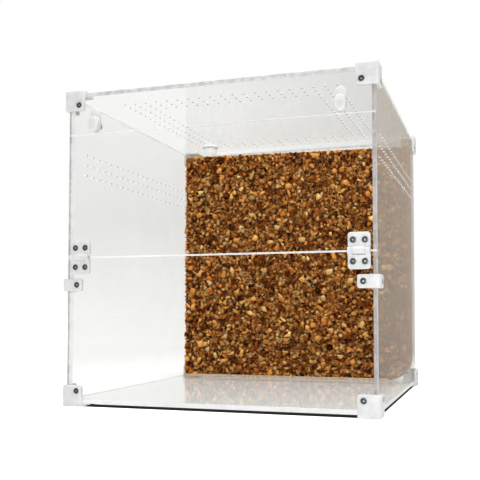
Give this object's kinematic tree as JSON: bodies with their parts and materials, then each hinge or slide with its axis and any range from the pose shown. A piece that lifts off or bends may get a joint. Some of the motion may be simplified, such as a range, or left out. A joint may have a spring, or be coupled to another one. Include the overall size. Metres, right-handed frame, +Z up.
{
  "type": "insect terrarium",
  "caption": "Clear acrylic insect terrarium with printed corner brackets, ventilation holes, a drop-down front door with turn latches, and a cork background.",
  "frame": {"origin": "under the middle of the whole object's bounding box, on the surface it stands on", "axes": "+Z up, -Y out of the front door, +X to the right when seen from the front"},
  "size_m": [0.306, 0.3114, 0.306],
  "materials": {
    "clear_acrylic": "clear polished",
    "printed_plastic": "translucent white",
    "latch_plastic": "translucent white",
    "dark_steel": "dark plated",
    "bright_steel": "plain",
    "clear_plug": "translucent",
    "cork": "coarse pressed granules"
  },
  "bodies": {
    "frame": {"bottom_panel": "clear_acrylic", "top_panel": "clear_acrylic", "left_wall": "clear_acrylic", "right_wall": "clear_acrylic", "back_panel": "clear_acrylic", "front_top_strip": "clear_acrylic", "front_lower_panel": "clear_acrylic", "bracket_front_left_bottom": "printed_plastic", "bracket_front_right_bottom": "printed_plastic", "bracket_rear_left_bottom": "printed_plastic", "bracket_rear_right_bottom": "printed_plastic", "bracket_front_left_top": "printed_plastic", "bracket_front_right_top": "printed_plastic", "bracket_rear_left_top": "printed_plastic", "bracket_rear_right_top": "printed_plastic", "side_clip_left": "printed_plastic", "side_clip_right": "printed_plastic", "hinge_left_lower_leaf": "printed_plastic", "hinge_right_lower_leaf": "printed_plastic", "bracket_screws_front": "dark_steel", "bracket_screws_rear": "dark_steel", "bracket_screws_left": "dark_steel", "bracket_screws_right": "dark_steel", "clip_screws": "dark_steel", "hinge_screws_lower": "dark_steel", "hinge_left_pin": "bright_steel", "hinge_right_pin": "bright_steel", "port_plug": "clear_plug", "cork_background": "cork"},
    "door": {"front_door": "clear_acrylic", "hinge_left_door_leaf": "printed_plastic", "hinge_right_door_leaf": "printed_plastic", "hinge_screws_door": "dark_steel"},
    "left_latch": {"latch_left": "latch_plastic", "latch_left_screw": "dark_steel", "latch_left_washer": "bright_steel"},
    "right_latch": {"latch_right": "latch_plastic", "latch_right_screw": "dark_steel", "latch_right_washer": "bright_steel"}
  },
  "joints": [
    {"name": "door_hinge", "type": "hinge", "parent": "frame", "child": "door", "pos_m": [0, -0.15085, 0.1425], "axis": [1, 0, 0], "range_deg": [0, 180]},
    {"name": "left_latch_turn", "type": "hinge", "parent": "frame", "child": "left_latch", "pos_m": [-0.12, -0.14735, 0.2703], "axis": [0, -1, 0], "range_deg": [0, 180]},
    {"name": "right_latch_turn", "type": "hinge", "parent": "frame", "child": "right_latch", "pos_m": [0.12, -0.14735, 0.2703], "axis": [0, 1, 0], "range_deg": [0, 180]}
  ]
}
